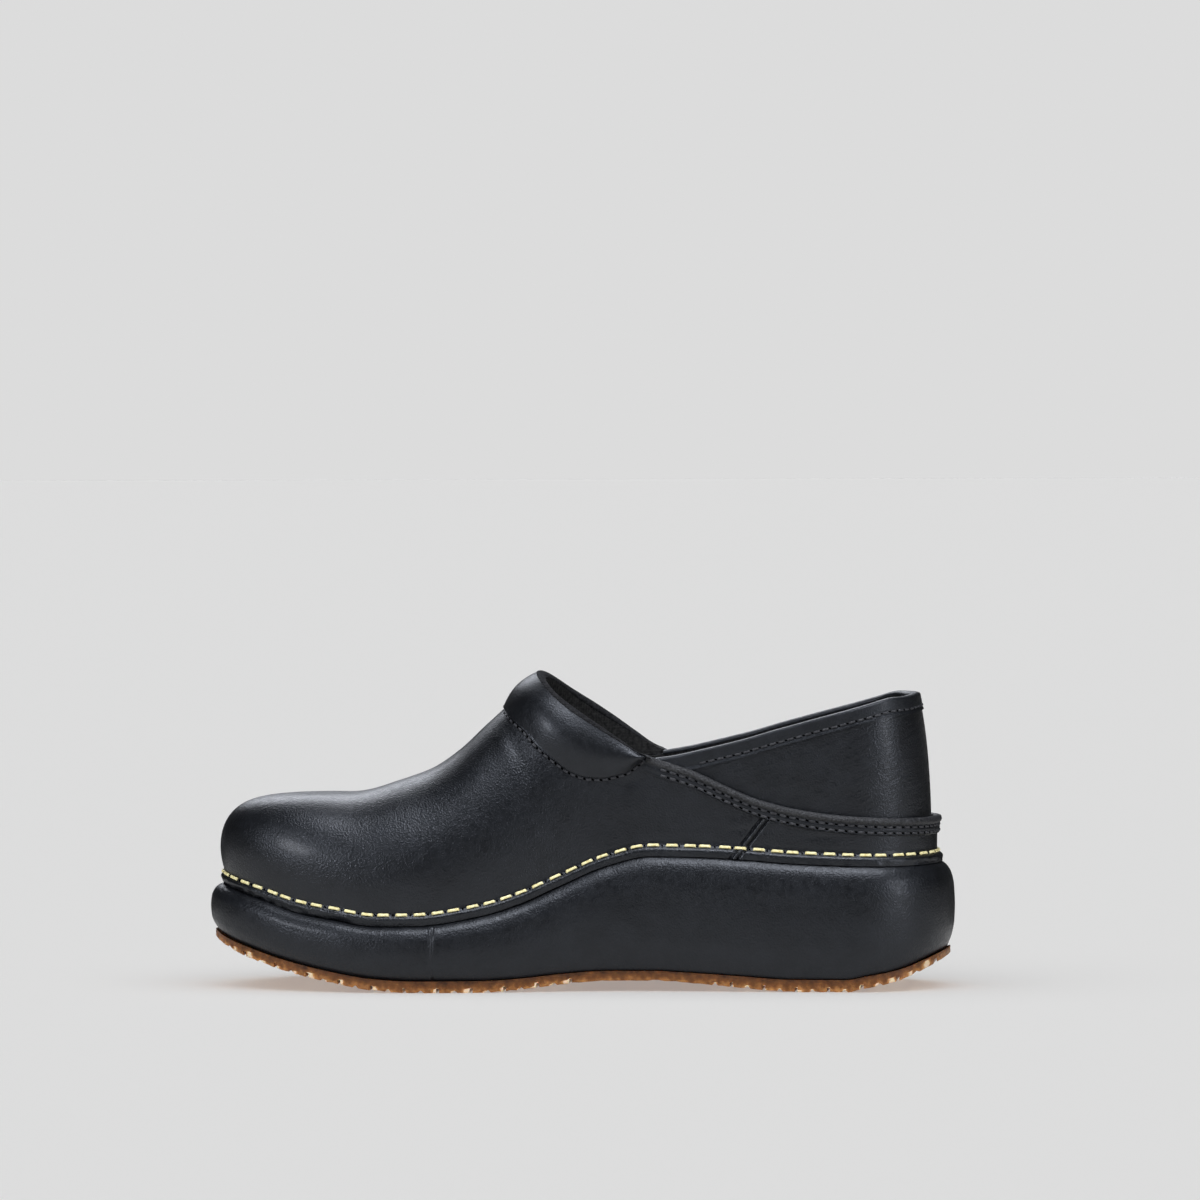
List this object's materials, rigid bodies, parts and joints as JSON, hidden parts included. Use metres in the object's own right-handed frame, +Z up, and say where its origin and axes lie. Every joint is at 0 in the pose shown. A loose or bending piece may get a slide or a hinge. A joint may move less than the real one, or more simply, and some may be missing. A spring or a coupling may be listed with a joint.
{
  "type": "chef clog",
  "caption": "Closed-back leather work clog for the right foot on a rocker platform, with a padded instep collar, a tall heel counter and a rubber outsole.",
  "frame": {"origin": "middle of the bounding box in plan, on the floor under the sole", "axes": "+X from heel to toe, +Z up, +Y to the inner side of the right foot"},
  "size_m": [0.276, 0.105, 0.1165],
  "materials": {
    "gum_rubber": "satin amber gum rubber",
    "sole_leather": "semi-gloss black, fine grain",
    "lining": "matte black woven lining",
    "black_leather": "polished semi-gloss black leather with cream welt stitching",
    "padded_leather": "soft semi-gloss black leather over foam",
    "binding_leather": "satin black leather with tonal stitching"
  },
  "bodies": {
    "root": {"outsole": "gum_rubber", "midsole": "sole_leather", "insole": "lining", "upper": "black_leather", "instep_collar": "padded_leather", "topline_band": "binding_leather", "counter": "black_leather", "counter_binding": "binding_leather"}
  },
  "joints": []
}
